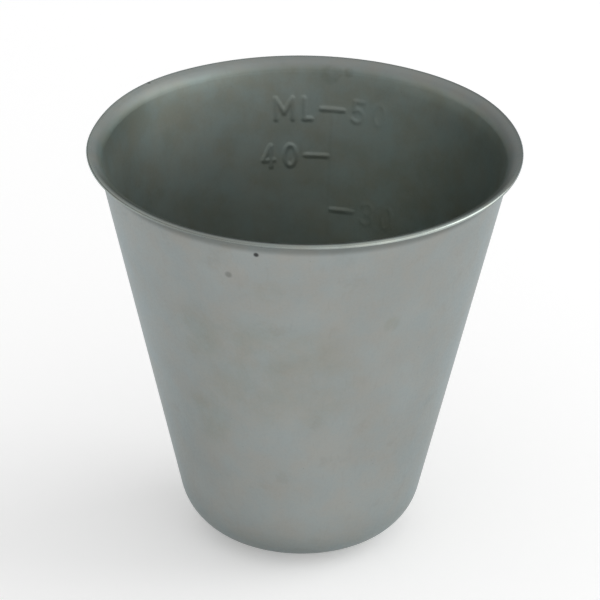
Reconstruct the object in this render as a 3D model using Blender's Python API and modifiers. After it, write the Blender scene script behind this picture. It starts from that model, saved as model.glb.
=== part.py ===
"""Graduated medicine cup: one shell, drawn and embossed from a single sheet-steel blank.

Metres, +Z up. The origin is the middle of the base, on the surface that the cup stands on.
The scale is on the far inner wall, towards +Y, and is read from the front over the near side of the lip.
"""

import math

import bmesh
import bpy
from mathutils import Vector

# Drawn shell
RIM_DIAMETER = 0.054  # across the outer edge of the turned-out lip
HEIGHT = 0.052  # from the base to the top of the lip
SHEET = 0.0005  # thickness of the sheet, the same all over
BASE_FLAT_DIAMETER = 0.015  # level middle of the base, which the cup stands on
CORNER_RADIUS = 0.0077  # outside of the bend from the base to the wall
LIP_BEND_RADIUS = 0.0013  # underside of the bend that turns the lip out level

# Graduation marks, pressed in from outside so that they stand up inside
SCALE_STEP = 10  # millilitres from one mark to the next
SCALE_TURN = math.radians(8.3)  # centre line of the scale, turned from +Y towards +X
STROKE_WIDTH = 0.00065  # across a stroke where it meets the wall
STROKE_RISE = 0.0002  # how far a stroke stands up from the wall
DASH_LENGTH = 0.0035  # level line of a mark, from end to end
FIGURE_HEIGHT = 0.0033  # over the outsides of the strokes, as are the widths below
FIGURE_WIDTH = 0.002
LETTER_WIDTHS = {"M": 0.0028, "L": 0.0016}
FIGURE_GAP = 0.0008  # clear wall between two figures
LABEL_GAP = 0.0006  # clear wall between a dash and its label
MARK_MARGIN = 0.001  # least wall kept between a mark and the bends above and below it
GROOVE_OVERRUN = 0.00005  # how far a groove outside runs past the end of its ridge inside
UNIT = "ML"  # unit of the scale, set beside its highest mark

# Fineness of the round forms
TURN_STEPS = 72
CORNER_STEPS = 8
LIP_STEPS = 5
EDGE_STEPS = 4
BOW_STEPS = 16  # on a full turn of a figure
WALL_RUN = 0.001  # longest straight stretch of a stroke round the wall
STROKE_SIDES_LEVEL = 2  # makes a stroke of eight sides
VOLUME_SLICES = 400
LEVEL_HALVINGS = 40
WELD = 1e-6

MILLILITRE = 1e-6  # in cubic metres
STEEL_COLOUR = (0.42, 0.43, 0.42, 1.0)
STEEL_ROUGHNESS = 0.42

# Half section, in distance from the axis and height
RIM_RADIUS = RIM_DIAMETER / 2
EDGE_RADIUS = SHEET / 2
CORNER_CENTRE = Vector((BASE_FLAT_DIAMETER / 2, CORNER_RADIUS))
LIP_CENTRE = Vector((RIM_RADIUS - EDGE_RADIUS, HEIGHT - SHEET - LIP_BEND_RADIUS))
EDGE_CENTRE = Vector((RIM_RADIUS - EDGE_RADIUS, HEIGHT - EDGE_RADIUS))
BEND_INSIDE = CORNER_RADIUS - SHEET
LIP_OUTSIDE = LIP_BEND_RADIUS + SHEET

# A stroke is part of a round tube, sunk so that the width and rise above come out right
STROKE_RADIUS = (STROKE_WIDTH**2 / 4 + STROKE_RISE**2) / (2 * STROKE_RISE)
STROKE_DEPTH = STROKE_RADIUS - STROKE_RISE


def wall_slope():
    """The wall's lean from upright: it touches the corner bend and the lip bend."""
    between = LIP_CENTRE - CORNER_CENTRE
    crossing = math.asin((CORNER_RADIUS + LIP_BEND_RADIUS) / between.length)
    return math.atan2(between.x, between.y) - crossing


SLOPE = wall_slope()
OUTWARD = Vector((math.cos(SLOPE), -math.sin(SLOPE)))  # square to the wall
WALL_FOOT = CORNER_CENTRE + BEND_INSIDE * OUTWARD  # where the straight wall starts, inside
WALL_TOP = LIP_CENTRE - LIP_OUTSIDE * OUTWARD  # where it ends at the lip, inside


def clear_scene():
    for obj in list(bpy.data.objects):
        bpy.data.objects.remove(obj, do_unlink=True)


def new_collection(name):
    collection = bpy.data.collections.new(name)
    bpy.context.scene.collection.children.link(collection)
    return collection


def satin_steel():
    material = bpy.data.materials.new("satin_steel")
    material.use_nodes = True
    shader = material.node_tree.nodes["Principled BSDF"]
    shader.inputs["Base Color"].default_value = STEEL_COLOUR
    shader.inputs["Metallic"].default_value = 1.0
    shader.inputs["Roughness"].default_value = STEEL_ROUGHNESS
    material.diffuse_color = STEEL_COLOUR
    return material


def arc(centre, radii, start, end, steps):
    """Points round a centre, from one angle to another, counted up from straight out."""
    angles = [start + (end - start) * step / steps for step in range(steps + 1)]
    return [centre + Vector((radii[0] * math.cos(a), radii[1] * math.sin(a))) for a in angles]


def bend(centre, radius, start, end, steps):
    return arc(centre, (radius, radius), start, end, steps)


def shell_profile():
    """Half section from the middle of the floor, up inside, over the lip and down to the base."""
    up, down = math.pi / 2, -math.pi / 2
    wall = math.pi - SLOPE
    floor_middle = Vector((0, SHEET))
    base_middle = Vector((0, 0))
    inside = bend(CORNER_CENTRE, BEND_INSIDE, down, -SLOPE, CORNER_STEPS)
    lip_top = bend(LIP_CENTRE, LIP_OUTSIDE, wall, up, LIP_STEPS)
    edge = bend(EDGE_CENTRE, EDGE_RADIUS, up, down, EDGE_STEPS)
    lip_under = bend(LIP_CENTRE, LIP_BEND_RADIUS, up, wall, LIP_STEPS)
    outside = bend(CORNER_CENTRE, CORNER_RADIUS, -SLOPE, down, CORNER_STEPS)
    return [floor_middle, *inside, *lip_top, *edge[1:-1], *lip_under, *outside, base_middle]


def turned_shell(collection):
    profile = shell_profile()
    mesh = bpy.data.meshes.new("cup_shell")
    points = [(point.x, 0, point.y) for point in profile]
    edges = [(i, i + 1) for i in range(len(points) - 1)]
    mesh.from_pydata(points, edges, [])
    shell = bpy.data.objects.new("cup_shell", mesh)
    collection.objects.link(shell)
    screw = shell.modifiers.new("turned", "SCREW")
    screw.axis = "Z"
    screw.steps = TURN_STEPS
    screw.render_steps = TURN_STEPS
    screw.use_smooth_shade = True
    screw.use_merge_vertices = True
    screw.merge_threshold = WELD
    return shell


def inner_radius(height):
    if height < WALL_FOOT.y:
        drop = CORNER_CENTRE.y - height
        return CORNER_CENTRE.x + math.sqrt(BEND_INSIDE**2 - drop**2)
    return WALL_FOOT.x + (height - WALL_FOOT.y) * math.tan(SLOPE)


def volume_below(height):
    """What the cup holds when filled to a height, from thin level slices."""
    thickness = (height - SHEET) / VOLUME_SLICES
    middles = [SHEET + (i + 0.5) * thickness for i in range(VOLUME_SLICES)]
    return sum(math.pi * inner_radius(middle) ** 2 * thickness for middle in middles)


def level_of(volume):
    low, high = SHEET, HEIGHT
    for _ in range(LEVEL_HALVINGS):
        middle = (low + high) / 2
        if volume_below(middle) < volume:
            low = middle
        else:
            high = middle
    return low


def scale_levels():
    """Each volume that has room for a mark, with the height of its level, from the lowest up."""
    reach = FIGURE_HEIGHT / 2 * math.cos(SLOPE) + MARK_MARGIN
    levels = {}
    volume = SCALE_STEP
    while volume * MILLILITRE < volume_below(WALL_TOP.y - reach):
        level = level_of(volume * MILLILITRE)
        if level > WALL_FOOT.y + reach:
            levels[volume] = level
        volume += SCALE_STEP
    return levels


def line(start, end):
    return [Vector(start), Vector(end)]


def bow(centre, radii, start, end):
    """A round stroke, from one angle to another in degrees."""
    steps = math.ceil(BOW_STEPS * abs(end - start) / 360)
    return arc(Vector(centre), radii, math.radians(start), math.radians(end), steps)


# Strokes of each figure, on a box one wide and one high about its middle
FIGURES = {
    "0": [bow((0, 0), (0.5, 0.5), 0, 360)],
    "1": [line((-0.3, 0.2), (0.1, 0.5)), line((0.1, 0.5), (0.1, -0.5))],
    "2": [
        bow((0, 0.2), (0.5, 0.3), 160, -40) + [Vector((-0.5, -0.5))],
        line((-0.5, -0.5), (0.5, -0.5)),
    ],
    "3": [bow((0, 0.25), (0.45, 0.25), 150, -90), bow((0, -0.25), (0.5, 0.25), 90, -150)],
    "4": [
        line((0.25, 0.5), (-0.5, -0.2)),
        line((-0.5, -0.2), (0.5, -0.2)),
        line((0.25, 0.5), (0.25, -0.5)),
    ],
    "5": [
        line((0.45, 0.5), (-0.4, 0.5)),
        line((-0.4, 0.5), (-0.4, 0.05)),
        bow((-0.05, -0.2), (0.55, 0.3), 130, -140),
    ],
    "6": [bow((0, -0.2), (0.5, 0.3), 0, 360), bow((0.5, -0.2), (1.0, 0.7), 180, 105)],
    "7": [line((-0.5, 0.5), (0.5, 0.5)), line((0.5, 0.5), (-0.15, -0.5))],
    "8": [bow((0, 0.25), (0.42, 0.25), 0, 360), bow((0, -0.25), (0.5, 0.25), 0, 360)],
    "9": [bow((0, 0.2), (0.5, 0.3), 0, 360), bow((-0.5, 0.2), (1.0, 0.7), 0, -75)],
    "M": [
        line((-0.5, -0.5), (-0.5, 0.5)),
        line((-0.5, 0.5), (0, -0.2)),
        line((0, -0.2), (0.5, 0.5)),
        line((0.5, 0.5), (0.5, -0.5)),
    ],
    "L": [line((-0.5, 0.5), (-0.5, -0.5)), line((-0.5, -0.5), (0.5, -0.5))],
}


def figure_width(figure):
    return LETTER_WIDTHS.get(figure, FIGURE_WIDTH)


def label_width(text):
    return sum(figure_width(figure) for figure in text) + FIGURE_GAP * (len(text) - 1)


def label_strokes(text, left):
    """Strokes of a label from its left side, in metres along the row and up the wall."""
    tall = FIGURE_HEIGHT - STROKE_WIDTH
    strokes = []
    for figure in text:
        wide = figure_width(figure) - STROKE_WIDTH
        middle = left + figure_width(figure) / 2
        for stroke in FIGURES[figure]:
            strokes.append([Vector((middle + point.x * wide, point.y * tall)) for point in stroke])
        left += figure_width(figure) + FIGURE_GAP
    return strokes


def dash_stroke(left):
    inset = STROKE_WIDTH / 2
    return line((left + inset, 0), (left + DASH_LENGTH - inset, 0))


def row_strokes(place, text, is_highest):
    """One mark. The highest is centred, with the unit before it, and the rest step left and right."""
    steps_left = place % 2 == 1
    if is_highest:
        left = -DASH_LENGTH / 2
    elif steps_left:
        left = -DASH_LENGTH
    else:
        left = 0.0
    before = UNIT if is_highest else text
    strokes = [dash_stroke(left)]
    if is_highest or steps_left:
        strokes += label_strokes(before, left - LABEL_GAP - label_width(before))
    if is_highest or not steps_left:
        strokes += label_strokes(text, left + DASH_LENGTH + LABEL_GAP)
    return strokes


def is_ring(stroke):
    return (stroke[0] - stroke[-1]).length < WELD


def run_on(stroke):
    """The stroke of a groove, which goes a little past both ends of its ridge. A ring has no ends."""
    if is_ring(stroke):
        return stroke
    first = stroke[0] + (stroke[0] - stroke[1]).normalized() * GROOVE_OVERRUN
    last = stroke[-1] + (stroke[-1] - stroke[-2]).normalized() * GROOVE_OVERRUN
    return [first, *stroke[1:-1], last]


def followed(stroke):
    """The stroke with points added, so that no straight stretch cuts far across the round wall."""
    points = [stroke[0]]
    for start, end in zip(stroke, stroke[1:]):
        stretches = max(1, math.ceil(abs(end.x - start.x) / WALL_RUN))
        points += [start.lerp(end, (i + 1) / stretches) for i in range(stretches)]
    return points


def laid(stroke, level, depth):
    """The stroke on the inner wall at its level, sunk into the sheet by a depth."""
    points = []
    for flat in followed(stroke):
        height = level + flat.y * math.cos(SLOPE)
        turn = SCALE_TURN + flat.x / inner_radius(level)
        section = Vector((inner_radius(height), height)) + depth * OUTWARD
        points.append(Vector((section.x * math.sin(turn), section.x * math.cos(turn), section.y)))
    return points


def tube(name, points, collection):
    """A stroke as a closed tube, its own mesh. A stroke that ends where it began is a ring."""
    closed = is_ring(points)
    spots = points[:-1] if closed else points
    curve = bpy.data.curves.new(name, "CURVE")
    curve.dimensions = "3D"
    curve.bevel_depth = STROKE_RADIUS
    curve.bevel_resolution = STROKE_SIDES_LEVEL
    curve.use_fill_caps = True
    spline = curve.splines.new("POLY")
    spline.points.add(len(spots) - 1)
    for control, spot in zip(spline.points, spots):
        control.co = (*spot, 1)
    spline.use_cyclic_u = closed
    path = bpy.data.objects.new(name, curve)
    collection.objects.link(path)
    graph = bpy.context.evaluated_depsgraph_get()
    mesh = bpy.data.meshes.new_from_object(path.evaluated_get(graph))
    welded = bmesh.new()
    welded.from_mesh(mesh)
    bmesh.ops.remove_doubles(welded, verts=welded.verts, dist=WELD)
    bmesh.ops.recalc_face_normals(welded, faces=welded.faces)
    welded.to_mesh(mesh)
    welded.free()
    mesh.shade_smooth()
    solid = bpy.data.objects.new(name, mesh)
    solid.matrix_world = path.matrix_world
    bpy.data.objects.remove(path)
    collection.objects.link(solid)
    solid.hide_render = True
    solid.display_type = "WIRE"


def press(shell, operation, collection):
    pressed = shell.modifiers.new(collection.name, "BOOLEAN")
    pressed.operation = operation
    pressed.solver = "EXACT"
    pressed.operand_type = "COLLECTION"
    pressed.collection = collection


def emboss_scale(shell):
    """Stand each stroke up inside and sink it as far outside, so that the sheet keeps its thickness."""
    ridges = new_collection("mark_ridges")
    grooves = new_collection("mark_grooves")
    levels = scale_levels()
    highest = max(levels, default=None)
    for place, (volume, level) in enumerate(levels.items()):
        strokes = row_strokes(place, str(volume), volume == highest)
        for number, stroke in enumerate(strokes):
            ridge = laid(stroke, level, STROKE_DEPTH)
            groove = laid(run_on(stroke), level, STROKE_DEPTH + SHEET)
            tube(f"ridge_{volume}_{number}", ridge, ridges)
            tube(f"groove_{volume}_{number}", groove, grooves)
    press(shell, "UNION", ridges)
    press(shell, "DIFFERENCE", grooves)


def main():
    clear_scene()
    shell = turned_shell(new_collection("medicine_cup"))
    shell.data.materials.append(satin_steel())
    emboss_scale(shell)


main()
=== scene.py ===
"""Looks of the graduated medicine cup: a satin steel shell, with its scale pressed in, on a pale floor.

Metres, +Z up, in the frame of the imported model. A turn is counted from +Y, where the scale is, towards +X.
"""

import math

import bpy
import numpy as np
from mathutils import Matrix, Vector


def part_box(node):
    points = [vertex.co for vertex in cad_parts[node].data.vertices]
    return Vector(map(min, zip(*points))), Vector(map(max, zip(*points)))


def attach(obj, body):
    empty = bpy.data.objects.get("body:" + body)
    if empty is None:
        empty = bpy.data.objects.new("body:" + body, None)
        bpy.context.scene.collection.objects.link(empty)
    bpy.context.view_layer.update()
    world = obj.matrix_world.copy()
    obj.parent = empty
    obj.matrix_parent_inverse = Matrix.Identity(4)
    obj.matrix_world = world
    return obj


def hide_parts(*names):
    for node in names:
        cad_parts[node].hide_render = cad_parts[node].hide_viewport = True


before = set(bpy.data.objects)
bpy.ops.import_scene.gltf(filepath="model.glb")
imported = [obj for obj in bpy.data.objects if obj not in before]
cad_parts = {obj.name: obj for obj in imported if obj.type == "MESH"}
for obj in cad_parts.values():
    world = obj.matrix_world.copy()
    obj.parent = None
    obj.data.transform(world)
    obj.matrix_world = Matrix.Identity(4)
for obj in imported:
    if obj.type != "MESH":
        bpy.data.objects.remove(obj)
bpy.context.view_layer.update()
LOW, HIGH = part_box("cup_shell")

# Drawn shell, as in the solid
RIM_RADIUS = (HIGH[0] - LOW[0]) / 2
HEIGHT = HIGH[2] - LOW[2]
SHEET = 0.0005
BASE_FLAT_RADIUS = 0.0075
CORNER_RADIUS = 0.0077  # outside of the bend from the base to the wall
LIP_BEND_RADIUS = 0.0013  # underside of the bend that turns the lip out level

# Graduation marks: their places and sizes, as in the solid
SCALE_VOLUMES = (10, 20, 30, 40, 50)
SCALE_TURN = math.radians(8.3)
STROKE_WIDTH = 0.00065
DASH_LENGTH = 0.0035
FIGURE_HEIGHT = 0.0033
FIGURE_WIDTH = 0.002
LETTER_WIDTHS = {"M": 0.0028, "L": 0.0016}
FIGURE_GAP = 0.0008
LABEL_GAP = 0.0006
UNIT = "ML"
MILLILITRE = 1e-6

# Relief of the marks, softer than in the solid
STROKE_RISE = 0.000065
STROKE_TOP = 0.00006  # half the width of a stroke's flat top
STROKE_REACH = 0.00042  # from a stroke's middle to the foot of its soft flank
FAINTER = (0.001, 0.0048)  # where along a row the marks start to grow faint, and where they are faintest
FAINTEST = 0.28  # how much of its rise the faintest mark has
SPINE_STRIKE = 0.3  # the same for the line that joins the dashes

# The rim is a little out of round from use: turn and spread in degrees, and how far it stands out
RIM_SWELLS = ((-75, 12, -0.00018), (-45, 14, 0.00018), (52, 18, 0.0002))
SWELL_FADE = 6  # power of the height that they grow with, so that they die away down the wall

# Painted shade and highlights by turn, one of them partly wear: turn and spread in degrees, and strength
WORN_GLINT_PLACES = ((152, 28, 1.0), (-74, 44, 0.78), (-108, 13, 0.33), (228, 10, 0.24))  # painted highlight along the lip's edge, partly wear
SIDE_SHADE_PLACES = ((-98, 42, 1.0), (114, 24, 1.0))  # painted shade at the start of the lip's bend
WALL_SHADE_PLACES = ((-62, 26, 0.5), (-108, 28, 0.3))  # painted shade running down the wall inside
INNER_TOP_SHEEN_PLACES = ((53, 27, 1.0), (-32, 14, 0.5))  # painted highlight on the top of the wall inside
FRONT_BEND_SHADE_RANGE = (0.15, 0.45)  # where the painted shade on the bend starts and is darkest: 0 at the sides, 1 in front

# Painted shade and highlights by height
# Of the painted shade down the wall inside, and of the painted highlight at its top
WALL_SHADE_DEPTH = 0.004
INNER_TOP_SHEEN_DEPTH = 0.0021
LIP_SHADE_DEPTH = 0.0009  # of the painted shade outside, under the lip
FOOT_SHADE_HEIGHT = 0.01  # of the painted shade at the foot
# Where each starts and is full on the lip's bend, from 0 at its crest to 1 at the wall
INSIDE_REACH = (0.5, 1.0)
SIDE_SHADE_REACH = (0.2, 0.65)
BEND_REACH = (0.0, 0.28)
# The same round the lip's edge, from 0 underneath to 1 on top
EDGE_REACH = (0.0, 0.5)
WORN_GLINT_REACH = (0.0, 0.2)
SHADE_REACH = (0.3, 0.8)  # painted shade under the lip, here from full to none
# Kinds of finish that a row can have. Several are painted light and shade: shade on the front of the lip's
# bend, on its sides, down the wall inside, round and under the lip and at the foot, a highlight at the top
# of the wall inside, shade along the lip's edge and a highlight there that is partly wear
FINISHES = ("inside", "bend", "front_bend_shade", "side_shade", "wall_shade", "inner_top_sheen", "edge", "worn_glint", "under_lip_shade", "foot")

# Fineness of the mesh
FINE = 0.000185  # between points across the marks
LIP_SHADE_STEPS = 6
WALL_STEP = 0.0014  # between rows on the plain wall
COARSE_TURN = math.radians(2.5)
CORNER_STEPS = 24
LIP_STEPS = 12
EDGE_STEPS = 10
FLAT_RINGS = 8
BOW_STEPS = 40  # on a full turn of a figure
VOLUME_SLICES = 4000

# Half section, in distance from the axis and height
EDGE_RADIUS = SHEET / 2
CORNER_CENTRE = np.array((BASE_FLAT_RADIUS, CORNER_RADIUS))
LIP_CENTRE = np.array((RIM_RADIUS - EDGE_RADIUS, HEIGHT - SHEET - LIP_BEND_RADIUS))
EDGE_CENTRE = np.array((RIM_RADIUS - EDGE_RADIUS, HEIGHT - EDGE_RADIUS))
BEND_INSIDE = CORNER_RADIUS - SHEET
LIP_OUTSIDE = LIP_BEND_RADIUS + SHEET


def wall_slope():
    """The wall's lean from upright: it touches the corner bend and the lip bend."""
    across, up = LIP_CENTRE - CORNER_CENTRE
    crossing = math.asin((CORNER_RADIUS + LIP_BEND_RADIUS) / math.hypot(across, up))
    return math.atan2(across, up) - crossing


SLOPE = wall_slope()
OUTWARD = np.array((math.cos(SLOPE), -math.sin(SLOPE)))  # square to the wall
UP_WALL = np.array((math.sin(SLOPE), math.cos(SLOPE)))
WALL_FOOT = CORNER_CENTRE + BEND_INSIDE * OUTWARD  # where the straight wall starts, inside
WALL_TOP = LIP_CENTRE - LIP_OUTSIDE * OUTWARD  # where it ends at the lip, inside
WALL_LENGTH = np.linalg.norm(WALL_TOP - WALL_FOOT)


def arc(centre, radii, start, end, steps):
    """Points round a centre, from one angle to another in degrees, counted up from straight out."""
    angles = np.radians(np.linspace(start, end, steps + 1))
    return np.asarray(centre) + np.c_[radii[0] * np.cos(angles), radii[1] * np.sin(angles)]


def bend(centre, radius, start, end, steps):
    return arc(centre, (radius, radius), start, end, steps)


def mark_runs():
    """How far up the inner wall the level of each volume meets it."""
    heights = np.linspace(SHEET, WALL_TOP[1], VOLUME_SLICES)
    drop = np.maximum(CORNER_CENTRE[1] - heights, 0)
    in_bend = CORNER_CENTRE[0] + np.sqrt(np.maximum(BEND_INSIDE**2 - drop**2, 0))
    on_wall = WALL_FOOT[0] + (heights - WALL_FOOT[1]) * math.tan(SLOPE)
    radius = np.where(heights < WALL_FOOT[1], in_bend, on_wall)
    slices = np.pi * (radius[1:] ** 2 + radius[:-1] ** 2) / 2 * np.diff(heights)
    held = np.r_[0, np.cumsum(slices)]
    levels = np.interp(np.array(SCALE_VOLUMES) * MILLILITRE, held, heights)
    return (levels - WALL_FOOT[1]) / math.cos(SLOPE)


def line(start, end):
    return np.array((start, end))


def bow(centre, radii, start, end):
    steps = math.ceil(BOW_STEPS * abs(end - start) / 360)
    return arc(centre, radii, start, end, steps)


# Strokes of each figure, on a box one wide and one high about its middle
FIGURES = {
    "0": [bow((0, 0), (0.5, 0.5), 0, 360)],
    "1": [line((-0.3, 0.2), (0.1, 0.5)), line((0.1, 0.5), (0.1, -0.5))],
    "2": [
        np.r_[bow((0, 0.2), (0.5, 0.3), 160, -40), [(-0.5, -0.5)]],
        line((-0.5, -0.5), (0.5, -0.5)),
    ],
    "3": [bow((0, 0.25), (0.45, 0.25), 150, -90), bow((0, -0.25), (0.5, 0.25), 90, -150)],
    "4": [
        line((0.25, 0.5), (-0.5, -0.2)),
        line((-0.5, -0.2), (0.5, -0.2)),
        line((0.25, 0.5), (0.25, -0.5)),
    ],
    "5": [
        line((0.45, 0.5), (-0.4, 0.5)),
        line((-0.4, 0.5), (-0.4, 0.05)),
        bow((-0.05, -0.2), (0.55, 0.3), 130, -140),
    ],
    "M": [
        line((-0.5, -0.5), (-0.5, 0.5)),
        line((-0.5, 0.5), (0, -0.2)),
        line((0, -0.2), (0.5, 0.5)),
        line((0.5, 0.5), (0.5, -0.5)),
    ],
    "L": [line((-0.5, 0.5), (-0.5, -0.5)), line((-0.5, -0.5), (0.5, -0.5))],
}


def figure_width(figure):
    return LETTER_WIDTHS.get(figure, FIGURE_WIDTH)


def label_width(text):
    return sum(figure_width(figure) for figure in text) + FIGURE_GAP * (len(text) - 1)


def label_strokes(text, left):
    """Strokes of a label from its left side, in metres along the row and up the wall."""
    tall = FIGURE_HEIGHT - STROKE_WIDTH
    strokes = []
    for figure in text:
        wide = figure_width(figure) - STROKE_WIDTH
        middle = left + figure_width(figure) / 2
        strokes += [stroke * (wide, tall) + (middle, 0) for stroke in FIGURES[figure]]
        left += figure_width(figure) + FIGURE_GAP
    return strokes


def mark_strokes(place, text, is_highest):
    """One mark. The highest is centred, with the unit before it, and the rest step left and right."""
    steps_left = place % 2 == 1
    if is_highest:
        left = -DASH_LENGTH / 2
    elif steps_left:
        left = -DASH_LENGTH
    else:
        left = 0.0
    before = UNIT if is_highest else text
    inset = STROKE_WIDTH / 2
    strokes = [line((left + inset, 0), (left + DASH_LENGTH - inset, 0))]
    if is_highest or steps_left:
        strokes += label_strokes(before, left - LABEL_GAP - label_width(before))
    if is_highest or not steps_left:
        strokes += label_strokes(text, left + DASH_LENGTH + LABEL_GAP)
    return strokes


def scale_marks():
    """Each mark as its run up the wall, the wall's radius there and its strokes."""
    marks = []
    for place, (volume, run) in enumerate(zip(SCALE_VOLUMES, mark_runs())):
        radius = WALL_FOOT[0] + run * UP_WALL[0]
        strokes = mark_strokes(place, str(volume), volume == SCALE_VOLUMES[-1])
        marks.append((run, radius, strokes))
    return marks


MARKS = scale_marks()


def with_fine_stretches(coarse, stretches):
    """Coarse steps, with fine ones in their place over each stretch of (start, end, step)."""
    kept = coarse
    for start, end, _ in stretches:
        kept = kept[(kept < start) | (kept > end)]
    fine = [np.arange(start, end, step) for start, end, step in stretches]
    return np.sort(np.concatenate([kept, *fine]))


def wall_runs():
    """Where the wall has its rows, as distances from its foot."""
    half = FIGURE_HEIGHT / 2 + STROKE_REACH
    coarse = np.linspace(0, WALL_LENGTH, round(WALL_LENGTH / WALL_STEP))
    stretches = [(run - half, run + half, FINE) for run, _, _ in MARKS]
    shade_step = LIP_SHADE_DEPTH / LIP_SHADE_STEPS
    stretches.append((WALL_LENGTH - LIP_SHADE_DEPTH, WALL_LENGTH - shade_step / 2, shade_step))
    return with_fine_stretches(coarse, stretches)


def cup_turns():
    """Where the cup has its columns, as turns about its axis."""
    reach = np.concatenate([stroke[:, 0] / radius for _, radius, strokes in MARKS for stroke in strokes])
    margin = STROKE_REACH / BASE_FLAT_RADIUS
    start = SCALE_TURN + reach.min() - margin
    end = SCALE_TURN + reach.max() + margin
    rest = 2 * math.pi - (end - start)
    fine = np.arange(start, end, FINE / WALL_TOP[0])
    plain = np.linspace(fine[-1], start + 2 * math.pi, round(rest / COARSE_TURN) + 1)
    return np.r_[fine, plain[1:-1]]


def rise(value, start, full):
    """A smooth step from 0 at one value to 1 at another."""
    share = np.clip((value - start) / (full - start), 0, 1)
    return share * share * (3 - 2 * share)


def bump_at(turns, degrees, spread):
    """1 at a turn in degrees, and falling softly to 0 on both sides of it."""
    apart = (np.degrees(turns) - degrees + 180) % 360 - 180
    return np.exp(-((apart / spread) ** 2))


def bumps(turns, places):
    """The sum of soft bumps, each with a turn and spread in degrees and a height."""
    return sum(height * bump_at(turns, degrees, spread) for degrees, spread, height in places)


def from_stroke(x, y, stroke):
    """How far each point of a grid lies from a stroke."""
    nearest = np.full(np.broadcast(x, y).shape, np.inf)
    for start, end in zip(stroke, stroke[1:]):
        way = end - start
        along = np.clip(((x - start[0]) * way[0] + (y - start[1]) * way[1]) / (way @ way), 0, 1)
        apart = np.hypot(x - start[0] - along * way[0], y - start[1] - along * way[1])
        nearest = np.minimum(nearest, apart)
    return nearest


def stroke_section(apart):
    """How high a stroke stands, from 0 to 1, at a distance from its middle."""
    return 1 - rise(apart, STROKE_TOP, STROKE_REACH)


def pressed_spine(runs, turns):
    """The faint upright line that joins the dashes, from the lowest mark to the highest."""
    radius = WALL_FOOT[0] + runs * UP_WALL[0]
    levels = [level for level, _, _ in MARKS]
    is_marked = (runs >= levels[0]) & (runs <= levels[-1])
    apart = np.outer(radius, np.abs(turns - SCALE_TURN))
    return SPINE_STRIKE * is_marked[:, None] * stroke_section(apart)


def pressed(runs, turns):
    """How far the marks stand in from the wall, from 0 to 1, for each row and column."""
    share = pressed_spine(runs, turns)
    for level, radius, strokes in MARKS:
        y = (runs - level)[:, None]
        x = ((turns - SCALE_TURN) * radius)[None, :]
        strike = 1 - (1 - FAINTEST) * rise(x, *FAINTER)
        for stroke in strokes:
            share = np.maximum(share, stroke_section(from_stroke(x, y, stroke)) * strike)
    return share


def half_section(runs):
    """The section by its stretches, from the floor's middle over the lip to the base's middle."""
    up = math.degrees(SLOPE)
    flat = np.linspace(0, BASE_FLAT_RADIUS, FLAT_RINGS + 1)[1:-1]
    inner_wall = WALL_FOOT + runs[:, None] * UP_WALL
    return {
        "floor": np.c_[flat, np.full(len(flat), SHEET)],
        "inner_corner": bend(CORNER_CENTRE, BEND_INSIDE, -90, -up, CORNER_STEPS)[:-1],
        "inner_wall": inner_wall,
        "over_lip": bend(LIP_CENTRE, LIP_OUTSIDE, 180 - up, 90, LIP_STEPS)[1:],
        "edge": bend(EDGE_CENTRE, EDGE_RADIUS, 90, -90, EDGE_STEPS)[1:-1],
        "under_lip": bend(LIP_CENTRE, LIP_BEND_RADIUS, 90, 180 - up, LIP_STEPS)[:-1],
        "outer_wall": (inner_wall + SHEET * OUTWARD)[::-1],
        "outer_corner": bend(CORNER_CENTRE, CORNER_RADIUS, -up, -90, CORNER_STEPS)[1:],
        "base": np.c_[flat[::-1], np.zeros(len(flat))],
    }


def rows_of(stretches):
    """Which rows of the mesh each stretch of the section takes."""
    ends = np.cumsum([len(points) for points in stretches.values()])
    starts = np.r_[0, ends[:-1]]
    return {name: slice(start, end) for name, start, end in zip(stretches, starts, ends)}


def row_finish(section, rows, runs):
    """How much of each finish a row has, from 0 to 1."""
    finish = {name: np.zeros(len(section)) for name in FINISHES}
    lip, edge, outer = rows["over_lip"], rows["edge"], rows["outer_wall"]
    below_lip = WALL_LENGTH - runs
    on_bend = np.linspace(1, 0, LIP_STEPS)
    round_edge = np.linspace(1, 0, EDGE_STEPS - 1)
    finish["inside"][: lip.start] = 1
    finish["inside"][lip] = rise(on_bend, *INSIDE_REACH)
    finish["bend"][lip] = rise(on_bend, *BEND_REACH)
    # Painted shade on the lip's bend, kept to the front by point_finish
    finish["front_bend_shade"][lip] = finish["bend"][lip]
    # Painted shade on the sides of the lip's bend, and down the wall inside below the lip
    finish["side_shade"][lip] = rise(on_bend, *SIDE_SHADE_REACH)
    finish["wall_shade"][rows["inner_wall"]] = 1 - rise(below_lip, 0, WALL_SHADE_DEPTH)
    # Painted highlight on the top of the wall inside and up the inner side of the lip's bend
    finish["inner_top_sheen"][rows["inner_wall"]] = 1 - rise(below_lip, 0, INNER_TOP_SHEEN_DEPTH)
    finish["inner_top_sheen"][lip] = finish["inside"][lip]
    # The lip's edge is smoother and has painted shade
    finish["edge"][lip] = (1 - on_bend) ** 2
    finish["edge"][edge] = rise(round_edge, *EDGE_REACH)
    # Painted highlight along the lip's edge, partly wear
    finish["worn_glint"][lip] = finish["edge"][lip]
    finish["worn_glint"][edge] = rise(round_edge, *WORN_GLINT_REACH)
    # Painted shade round the underside of the lip's edge, under the lip and just below it down the wall
    finish["under_lip_shade"][edge] = 1 - rise(round_edge, *SHADE_REACH)
    finish["under_lip_shade"][rows["under_lip"]] = 1
    finish["under_lip_shade"][outer] = 1 - rise(below_lip[::-1], 0, LIP_SHADE_DEPTH)
    # Painted shade at the foot, fading up the wall
    finish["foot"][outer.start :] = 1 - rise(section[outer.start :, 1], 0, FOOT_SHADE_HEIGHT)
    return finish


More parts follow.
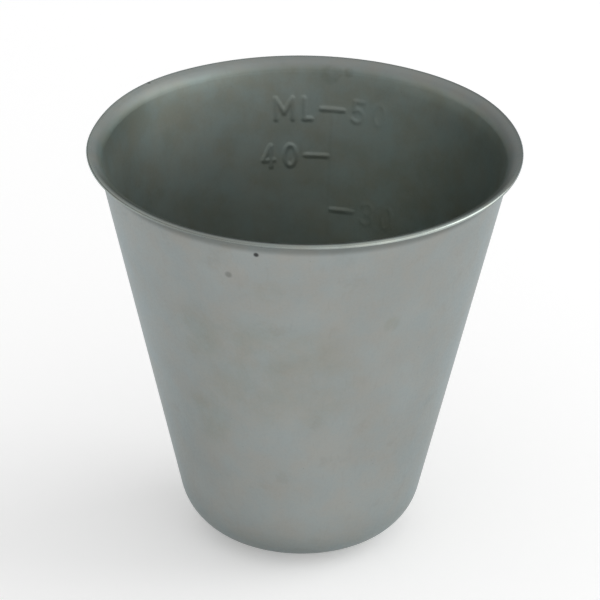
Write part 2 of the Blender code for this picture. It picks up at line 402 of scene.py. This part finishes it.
def point_finish(by_row, turns):
    """How much of each finish a point has, by its row and its turn."""
    by_turn = {
        "front_bend_shade": rise(-np.cos(turns), *FRONT_BEND_SHADE_RANGE),
        "worn_glint": bumps(turns, WORN_GLINT_PLACES),
        "side_shade": bumps(turns, SIDE_SHADE_PLACES),
        "wall_shade": bumps(turns, WALL_SHADE_PLACES),
        "inner_top_sheen": bumps(turns, INNER_TOP_SHEEN_PLACES),
    }
    all_round = np.ones(len(turns))
    finish = {name: np.outer(values, by_turn.get(name, all_round)) for name, values in by_row.items()}
    # No painted shade under the lip where the edge has its painted highlight
    finish["under_lip_shade"] *= 1 - np.minimum(finish["worn_glint"], 1)
    # The painted shade down the wall joins the painted shade on the bend
    finish["side_shade"] += finish.pop("wall_shade")
    return finish


def shell_points():
    """Points of the shell by row and column, their finish, and the section and turns that they lie on."""
    runs, turns = wall_runs(), cup_turns()
    stretches = half_section(runs)
    rows = rows_of(stretches)
    section = np.concatenate(list(stretches.values()))
    marks = np.zeros((len(section), len(turns)))
    marks[rows["inner_wall"]] = pressed(runs, turns)
    marks[rows["outer_wall"]] = marks[rows["inner_wall"]][::-1]
    radius = section[:, :1] - marks * STROKE_RISE * OUTWARD[0]
    height = section[:, 1:] - marks * STROKE_RISE * OUTWARD[1]
    radius = radius + bumps(turns, RIM_SWELLS) * (height / HEIGHT) ** SWELL_FADE
    points = np.stack([radius * np.sin(turns), radius * np.cos(turns), height], -1)
    finish = point_finish(row_finish(section, rows, runs), turns)
    finish["stroke"] = marks
    return points, finish, section, turns


def shell_mesh():
    """The shell as one closed mesh, with its finish by point and a flat map of it for textures."""
    points, finish, section, turns = shell_points()
    rows, columns = points.shape[:2]
    floor_middle = np.full(columns, rows * columns)
    base_middle = floor_middle + 1
    here = np.arange(columns)
    after = np.roll(here, -1)
    row = np.arange(rows - 1)[:, None] * columns
    next_row = row + columns
    quads = np.stack([row + after, next_row + after, next_row + here, row + here], -1).reshape(-1, 4)
    last = (rows - 1) * columns
    floor_fan = np.c_[floor_middle, after, here]
    base_fan = np.c_[base_middle, last + here, last + after]
    faces = [*quads.tolist(), *floor_fan.tolist(), *base_fan.tolist()]
    middles = [(0, 0, SHEET), (0, 0, 0)]
    mesh = bpy.data.meshes.new("steel_shell")
    mesh.from_pydata(np.r_[points.reshape(-1, 3), middles].tolist(), [], faces)
    mesh.shade_smooth()
    for name, values in finish.items():
        flat = values.ravel()
        kept = mesh.attributes.new(name, "FLOAT", "POINT")
        kept.data.foreach_set("value", np.r_[flat, flat[0], flat[-1]].astype(np.float32))
    lay_flat(mesh, section, turns)
    return mesh


def lay_flat(mesh, section, turns):
    """A map of the shell: turns run across it and the half section runs up it."""
    steps = np.hypot(*np.diff(np.r_[[(0, SHEET)], section, [(0, 0)]], axis=0).T)
    up = np.cumsum(steps) / steps.sum()
    columns = len(turns)
    left = (turns - turns[0]) / (2 * math.pi)
    right = np.r_[left[1:], 1.0]
    grid = (len(section) - 1, columns)
    low, high = (np.broadcast_to(side[:, None], grid) for side in (up[:-2], up[1:-1]))
    near, far = (np.broadcast_to(side, grid) for side in (left, right))
    corners = ((far, low), (far, high), (near, high), (near, low))
    quads = np.stack([np.stack(corner, -1) for corner in corners], 2)
    middle = (left + right) / 2
    bottom, first = np.zeros(columns), np.full(columns, up[0])
    top, final = np.ones(columns), np.full(columns, up[-2])
    floor_fan = np.stack([np.c_[middle, bottom], np.c_[right, first], np.c_[left, first]], 1)
    base_fan = np.stack([np.c_[middle, top], np.c_[left, final], np.c_[right, final]], 1)
    flat = np.concatenate([part.reshape(-1, 2) for part in (quads, floor_fan, base_fan)])
    layer = mesh.uv_layers.new(name="OFBake")
    layer.uv.foreach_set("vector", flat.astype(np.float32).ravel())


def add_node(tree, kind, inputs=None, **settings):
    """A shader node, with each input set to a value or linked to another node's output."""
    node = tree.nodes.new(kind)
    for name, value in settings.items():
        setattr(node, name, value)
    for name, value in (inputs or {}).items():
        set_input(tree, node.inputs[name], value)
    return node


def set_input(tree, socket, value):
    if isinstance(value, bpy.types.NodeSocket):
        tree.links.new(value, socket)
    else:
        socket.default_value = value


def new_material(name):
    material = bpy.data.materials.new(name)
    material.use_nodes = True
    tree = material.node_tree
    return material, tree, tree.nodes["Principled BSDF"]


def noise(tree, place, size, detail, roughness, seed=None):
    """Even noise from 0 to 1, with features of about a size in metres. A seed picks another pattern."""
    inputs = {"Vector": place, "Scale": 1 / size, "Detail": detail, "Roughness": roughness}
    if seed is None:
        return add_node(tree, "ShaderNodeTexNoise", inputs).outputs["Fac"]
    inputs["W"] = seed
    return add_node(tree, "ShaderNodeTexNoise", inputs, noise_dimensions="4D").outputs["Fac"]


def ramp(tree, value, start, end, low=0.0, high=1.0):
    """A smooth step from low at one value to high at another."""
    inputs = {"Value": value, "From Min": start, "From Max": end, "To Min": low, "To Max": high}
    return add_node(tree, "ShaderNodeMapRange", inputs, interpolation_type="SMOOTHSTEP").outputs["Result"]


def arithmetic(tree, operation, first, second):
    return add_node(tree, "ShaderNodeMath", {0: first, 1: second}, operation=operation).outputs[0]


def socket_named(sockets, name):
    return next(socket for socket in sockets if socket.identifier == name)


def blended(tree, share, below, above, kind="MIX"):
    """One colour over another, as far as the share says."""
    node = add_node(tree, "ShaderNodeMix", data_type="RGBA", blend_type=kind)
    for name, value in (("Factor_Float", share), ("A_Color", below), ("B_Color", above)):
        set_input(tree, socket_named(node.inputs, name), value)
    return socket_named(node.outputs, "Result_Color")


# Colours of satin steel, and tints that multiply them
STEEL_DARK = (0.318, 0.333, 0.32, 1)
STEEL_LIGHT = (0.337, 0.357, 0.347, 1)
STAIN_COLOUR = (0.262, 0.268, 0.24, 1)
SPECK_COLOUR = (0.2, 0.21, 0.2, 1)
PIT_COLOUR = (0.03, 0.03, 0.03, 1)
WARM_TINT = (1.025, 0.985, 0.955, 1)  # faint patches of warm and cool grey all over
COOL_TINT = (0.965, 1.0, 1.02, 1)
INSIDE_TINT = (0.9, 0.98, 0.957, 1)
FILM_TINT = (0.93, 0.885, 0.83, 1)  # patches of a thin film inside
# Painted shade on the front of the lip's bend
FRONT_BEND_SHADE_TINT = (0.78, 0.82, 0.8, 1)
# Painted shade under the lip
UNDER_LIP_SHADE_TINT = (0.62, 0.63, 0.62, 1)
# Painted shade at the foot
FOOT_SHADE_TINT = (0.8, 0.81, 0.8, 1)
STROKE_TINT = (0.88, 0.88, 0.88, 1)
SMUDGE_TINT = (0.91, 0.915, 0.875, 1)
INSIDE_SMUDGE_TINT = (0.74, 0.74, 0.71, 1)
# Painted shade on the sides of the lip's bend and down the wall inside
SIDE_SHADE_TINT = (0.53, 0.57, 0.55, 1)
# Painted highlight on the top of the wall inside
INNER_TOP_SHEEN_TINT = (1.54, 1.52, 1.52, 1)
# Painted shade along the lip's edge
EDGE_SHADE_TINT = (0.835, 0.862, 0.843, 1)
# Painted highlight along the lip's edge, partly wear
WORN_GLINT_TINT = (1.77, 1.8, 1.755, 1)
GRAZING_TINT = (0.83, 0.89, 0.92, 1)  # how steel reflects where it is seen along its surface
FRONT_BEND_GRAZING_SHADE = (0.15, 0.15, 0.15, 1)  # painted shade: the front of the lip's bend stays dark where it is seen along its surface

# Noise: the size of its features, detail and roughness, and a seed for some
CLOUDS = (0.012, 3.0, 0.55)
STAINS = (0.004, 4.0, 0.6)
PATCHES = (0.004, 4.0, 0.65, 6.0)
FILM = (0.005, 4.0, 0.6, 4.0)
# Breaks up the painted highlight and wear along the lip's edge
WORN_GLINT_NOISE = (0.0025, 3.0, 0.5)
GRAIN = (0.0003, 3.0, 0.5)
DRAW_LINES = (0.0005, 2.0, 0.5)  # across the faint lines that the drawing left up the wall
DRAW_LINE_STRETCH = 0.04  # how fast they change up the wall, against across it

# Values of the noise where each starts and where it is full
CLOUD_RANGE = (0.3, 0.7)
STAIN_RANGE = (0.58, 0.75)
PATCH_RANGE = (0.3, 0.7)
FILM_RANGE = (0.35, 0.65)
SMUDGE_RANGE = (0.3, 0.62)
WORN_GLINT_RANGE = (0.3, 0.7)
GRAIN_RANGE = (0.2, 0.8)
DRAW_LINE_RANGE = (0.55, 0.75)

# Strengths
STAIN_STRENGTH = 0.3
DRAW_LINE_STRENGTH = 0.12
SPECK_STRENGTH = 0.35
LEAST_WORN_GLINT = 0.78  # share of the painted highlight and wear on the lip's edge that is left where the noise is lowest

# Roughness, at the grain's lowest and highest
SATIN_ROUGHNESS = (0.37, 0.47)
INSIDE_ROUGHNESS = (0.44, 0.52)
BEND_ROUGHNESS = 0.62
EDGE_ROUGHNESS = 0.22
BUMP_STRENGTH = 0.1
BUMP_DEPTH = 0.00005

# Specks and spots
SPECK_SPACING = 0.0022
SPECK_RADIUS = 0.00012
SPECK_CORE = 0.5  # share of the radius that has full strength
SPOT_CORE = 0.4
# Spots on the wall and the lip: turn in degrees, height, radius and strength
PITS = (
    (193.0, 0.0496, 0.00044, 0.9),
    (201.7, 0.0459, 0.0006, 0.32),
    (-47.4, 0.052, 0.0003, 0.6),
)
SMUDGES = (
    (196.0, 0.034, 0.007, 0.8),
    (178.0, 0.034, 0.006, 0.6),
    (214.0, 0.0354, 0.006, 0.8),
    (178.0, 0.0266, 0.005, 0.5),
    (200.0, 0.028, 0.008, 0.7),
    (176.0, 0.03, 0.008, 0.5),
    (218.0, 0.0222, 0.005, 0.9),
    (190.0, 0.044, 0.0025, 0.6),
    (151.0, 0.038, 0.0016, 1.0),
)
INSIDE_SMUDGES = (
    (7.2, 0.0503, 0.0016, 0.9),
    (9.4, 0.0506, 0.0009, 0.8),
    (12.6, 0.0508, 0.0009, 0.9),
)


def finish_value(tree, name):
    return add_node(tree, "ShaderNodeAttribute", attribute_name=name).outputs["Fac"]


def shell_spot(turn, height, inside):
    """A place on the wall, outside or inside, or on the lip if it is as high as that."""
    run = (height - WALL_FOOT[1]) / math.cos(SLOPE)
    radius = WALL_FOOT[0] + run * UP_WALL[0]
    if height > LIP_CENTRE[1] + LIP_OUTSIDE / 2:
        radius = LIP_CENTRE[0]
    elif not inside:
        radius += SHEET / math.cos(SLOPE)
    return radius * math.sin(turn), radius * math.cos(turn), height


def spots(tree, place, chosen, inside=False):
    """The strength of soft round spots, and 0 elsewhere."""
    found = 0.0
    for degrees, height, size, strength in chosen:
        spot = shell_spot(math.radians(degrees), height, inside)
        apart = add_node(tree, "ShaderNodeVectorMath", {0: place, 1: spot}, operation="DISTANCE")
        dot = ramp(tree, apart.outputs["Value"], size * SPOT_CORE, size, strength, 0.0)
        found = arithmetic(tree, "MAXIMUM", dot, found)
    return found


def specks(tree, place):
    """Fine specks scattered over the steel, from 0 to 1."""
    cells = {"Vector": place, "Scale": 1 / SPECK_SPACING, "Randomness": 1.0}
    apart = add_node(tree, "ShaderNodeTexVoronoi", cells).outputs["Distance"]
    size = SPECK_RADIUS / SPECK_SPACING
    return ramp(tree, apart, size * SPECK_CORE, size, 1.0, 0.0)


def draw_lines(tree, place):
    """Fine lines that run up the wall, from 0 to 1."""
    stretched = add_node(tree, "ShaderNodeMapping", {"Vector": place, "Scale": (1, 1, DRAW_LINE_STRETCH)})
    return noise(tree, stretched.outputs["Vector"], *DRAW_LINES)


def bare_colour(tree, place, stains):
    """Clouded steel with brown stains and faint patches of warm and cool grey."""
    clouds = ramp(tree, noise(tree, place, *CLOUDS), *CLOUD_RANGE)
    colour = blended(tree, clouds, STEEL_DARK, STEEL_LIGHT)
    colour = blended(tree, ramp(tree, stains, *STAIN_RANGE, 0.0, STAIN_STRENGTH), colour, STAIN_COLOUR)
    patches = ramp(tree, noise(tree, place, *PATCHES), *PATCH_RANGE)
    return blended(tree, 1.0, colour, blended(tree, patches, WARM_TINT, COOL_TINT), "MULTIPLY")


def tints(tree, place, stains):
    """What tints the bare steel, in order: how much of it there is, and its tint. Several are painted shade
    or highlights: on the lip's bend, under the lip, at the foot, down the wall inside, at the top of the
    wall inside and along the lip's edge.
    """
    inside = finish_value(tree, "inside")
    film = ramp(tree, noise(tree, place, *FILM), *FILM_RANGE)
    blotches = ramp(tree, stains, *SMUDGE_RANGE)
    smudges = spots(tree, place, SMUDGES)
    inside_smudges = spots(tree, place, INSIDE_SMUDGES, inside=True)
    # Noise that breaks up the painted highlight and wear along the lip's edge
    worn_glint_breakup = ramp(tree, noise(tree, place, *WORN_GLINT_NOISE), *WORN_GLINT_RANGE, LEAST_WORN_GLINT, 1.0)
    return (
        (inside, INSIDE_TINT),
        (arithmetic(tree, "MULTIPLY", film, inside), FILM_TINT),
        (finish_value(tree, "front_bend_shade"), FRONT_BEND_SHADE_TINT),
        (finish_value(tree, "under_lip_shade"), UNDER_LIP_SHADE_TINT),
        (finish_value(tree, "foot"), FOOT_SHADE_TINT),
        (finish_value(tree, "stroke"), STROKE_TINT),
        (arithmetic(tree, "MULTIPLY", smudges, blotches), SMUDGE_TINT),
        (arithmetic(tree, "MULTIPLY", inside_smudges, blotches), INSIDE_SMUDGE_TINT),
        (finish_value(tree, "side_shade"), SIDE_SHADE_TINT),
        (finish_value(tree, "inner_top_sheen"), INNER_TOP_SHEEN_TINT),
        (finish_value(tree, "edge"), EDGE_SHADE_TINT),
        (arithmetic(tree, "MULTIPLY", finish_value(tree, "worn_glint"), worn_glint_breakup), WORN_GLINT_TINT),
    )


def steel_colour(tree, place, pits):
    """The bare steel, its tints, and then its lines, specks and pits."""
    stains = noise(tree, place, *STAINS)
    colour = bare_colour(tree, place, stains)
    for share, tint in tints(tree, place, stains):
        colour = blended(tree, share, colour, tint, "MULTIPLY")
    lines = ramp(tree, draw_lines(tree, place), *DRAW_LINE_RANGE, 0.0, DRAW_LINE_STRENGTH)
    colour = blended(tree, lines, colour, STAIN_COLOUR)
    faint_specks = arithmetic(tree, "MULTIPLY", specks(tree, place), SPECK_STRENGTH)
    colour = blended(tree, faint_specks, colour, SPECK_COLOUR)
    return blended(tree, pits, colour, PIT_COLOUR)


def steel_roughness(tree, grain):
    """Satin by its grain, rougher inside and on the lip's bend, and smooth on the lip's edge."""
    outside = ramp(tree, grain, *GRAIN_RANGE, *SATIN_ROUGHNESS)
    inside = ramp(tree, grain, *GRAIN_RANGE, *INSIDE_ROUGHNESS)
    satin = ramp(tree, finish_value(tree, "inside"), 0.0, 1.0, outside, inside)
    satin = ramp(tree, finish_value(tree, "bend"), 0.0, 1.0, satin, BEND_ROUGHNESS)
    return ramp(tree, finish_value(tree, "edge"), 0.0, 1.0, satin, EDGE_ROUGHNESS)


def satin_steel():
    """Satin steel: a soft grain, faint clouds, stains, drawing lines, specks and small pits, with painted
    shade and highlights on the lip and the wall.
    """
    material, tree, shader = new_material("satin_steel_finish")
    place = add_node(tree, "ShaderNodeTexCoord").outputs["Object"]
    grain = noise(tree, place, *GRAIN)
    pits = spots(tree, place, PITS)
    height = arithmetic(tree, "SUBTRACT", grain, pits)
    bump = {"Strength": BUMP_STRENGTH, "Distance": BUMP_DEPTH, "Height": height}
    # Painted shade: the front of the lip's bend reflects darkly where it is seen along its surface
    grazing = blended(tree, finish_value(tree, "front_bend_shade"), GRAZING_TINT, FRONT_BEND_GRAZING_SHADE)
    tree.links.new(steel_colour(tree, place, pits), shader.inputs["Base Color"])
    tree.links.new(steel_roughness(tree, grain), shader.inputs["Roughness"])
    tree.links.new(add_node(tree, "ShaderNodeBump", bump).outputs["Normal"], shader.inputs["Normal"])
    tree.links.new(grazing, shader.inputs["Specular Tint"])
    shader.inputs["Metallic"].default_value = 1.0
    return material


def dressed_cup():
    cup = bpy.data.objects.new("steel_shell", shell_mesh())
    bpy.context.scene.collection.objects.link(cup)
    cup.data.materials.append(satin_steel())
    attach(cup, "root")
    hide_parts("cup_shell")


# Studio
WHITE = (1, 1, 1, 1)
FLOOR_SIZE = 8.0
FLOOR_GAP = 0.00005  # keeps the floor clear of the flat base
FLOOR_COLOUR = (0.9, 0.9, 0.9, 1)
FLOOR_GLOW = 0.28
SKY_LEFT, SKY_RIGHT = 0.445, 1.39  # low in the sky
SKY_FRONT, SKY_BEHIND = 1.05, 0.27  # shares of that before and behind the cup
SKY_TOP = 0.7
SKY_DEPTH = (-0.6, 0.9)  # how far along +Y it starts to change from front to behind, and has changed
SKY_RISE = (0.1, 0.8)  # how far up it starts to change from low to top, and has changed
KEY_PLACE = (0.95, 0.2, 0.42)
KEY_SIZE = 0.85
KEY_POWER = 4.2


def seen_ray(tree):
    """1 for a ray that shows a surface, straight, mirrored or let through, and 0 for one that lights."""
    path = add_node(tree, "ShaderNodeLightPath").outputs
    straight_or_mirrored = arithmetic(tree, "MAXIMUM", path["Is Camera Ray"], path["Is Glossy Ray"])
    return arithmetic(tree, "MAXIMUM", straight_or_mirrored, path["Is Transmission Ray"])


def pale_floor():
    bpy.ops.mesh.primitive_plane_add(size=FLOOR_SIZE, location=(0, 0, -FLOOR_GAP))
    floor = bpy.context.object
    floor.name = "studio_floor"
    material, tree, shader = new_material("pale_floor")
    shader.inputs["Base Color"].default_value = FLOOR_COLOUR
    shader.inputs["Roughness"].default_value = 1.0
    shader.inputs["Specular IOR Level"].default_value = 0.0
    shader.inputs["Emission Color"].default_value = WHITE
    glow = arithmetic(tree, "MULTIPLY", seen_ray(tree), FLOOR_GLOW)
    tree.links.new(glow, shader.inputs["Emission Strength"])
    floor.data.materials.append(material)


def soft_sky():
    """A pale surround, brightest low on the right and dim low behind the cup."""
    world = bpy.data.worlds.new("soft_sky")
    bpy.context.scene.world = world
    world.use_nodes = True
    tree = world.node_tree
    way = add_node(tree, "ShaderNodeTexCoord").outputs["Generated"]
    axes = add_node(tree, "ShaderNodeSeparateXYZ", {"Vector": way}).outputs
    across = ramp(tree, axes["X"], -1.0, 1.0, SKY_LEFT, SKY_RIGHT)
    along = ramp(tree, axes["Y"], *SKY_DEPTH, SKY_FRONT, SKY_BEHIND)
    low = arithmetic(tree, "MULTIPLY", across, along)
    height = ramp(tree, axes["Z"], *SKY_RISE)
    level = add_node(tree, "ShaderNodeMix", {"Factor": height, "A": low, "B": SKY_TOP}).outputs["Result"]
    tree.links.new(level, tree.nodes["Background"].inputs["Strength"])
    tree.nodes["Background"].inputs["Color"].default_value = WHITE


def soft_lamp(name, place, size, power):
    lamp = bpy.data.lights.new(name, "AREA")
    lamp.size = size
    lamp.energy = power
    holder = bpy.data.objects.new(name, lamp)
    holder.location = place
    aim = Vector((0, 0, HEIGHT / 2)) - Vector(place)
    holder.rotation_euler = aim.to_track_quat("-Z", "Y").to_euler()
    bpy.context.scene.collection.objects.link(holder)


# Camera: it looks along +Y and down into the cup
CAMERA_AIM = (-0.000325, 0, 0.030917)
CAMERA_DISTANCE = 0.864
CAMERA_RISE = math.radians(27.221)
CAMERA_ROLL = math.radians(0.798)
CAMERA_SENSOR = 36.0
CAMERA_LENS = 415.61


def photo_camera():
    data = bpy.data.cameras.new("camera")
    data.sensor_width = CAMERA_SENSOR
    data.lens = CAMERA_LENS
    camera = bpy.data.objects.new("camera", data)
    bpy.context.scene.collection.objects.link(camera)
    aim = Matrix.Translation(CAMERA_AIM)
    tilt = Matrix.Rotation(math.pi / 2 - CAMERA_RISE, 4, "X")
    roll = Matrix.Rotation(CAMERA_ROLL, 4, "Z")
    back = Matrix.Translation((0, 0, CAMERA_DISTANCE))
    camera.matrix_world = aim @ tilt @ roll @ back
    bpy.context.scene.camera = camera


dressed_cup()
pale_floor()
soft_sky()
soft_lamp("key_lamp", KEY_PLACE, KEY_SIZE, KEY_POWER)
photo_camera()
bpy.context.scene.view_settings.view_transform = "Standard"
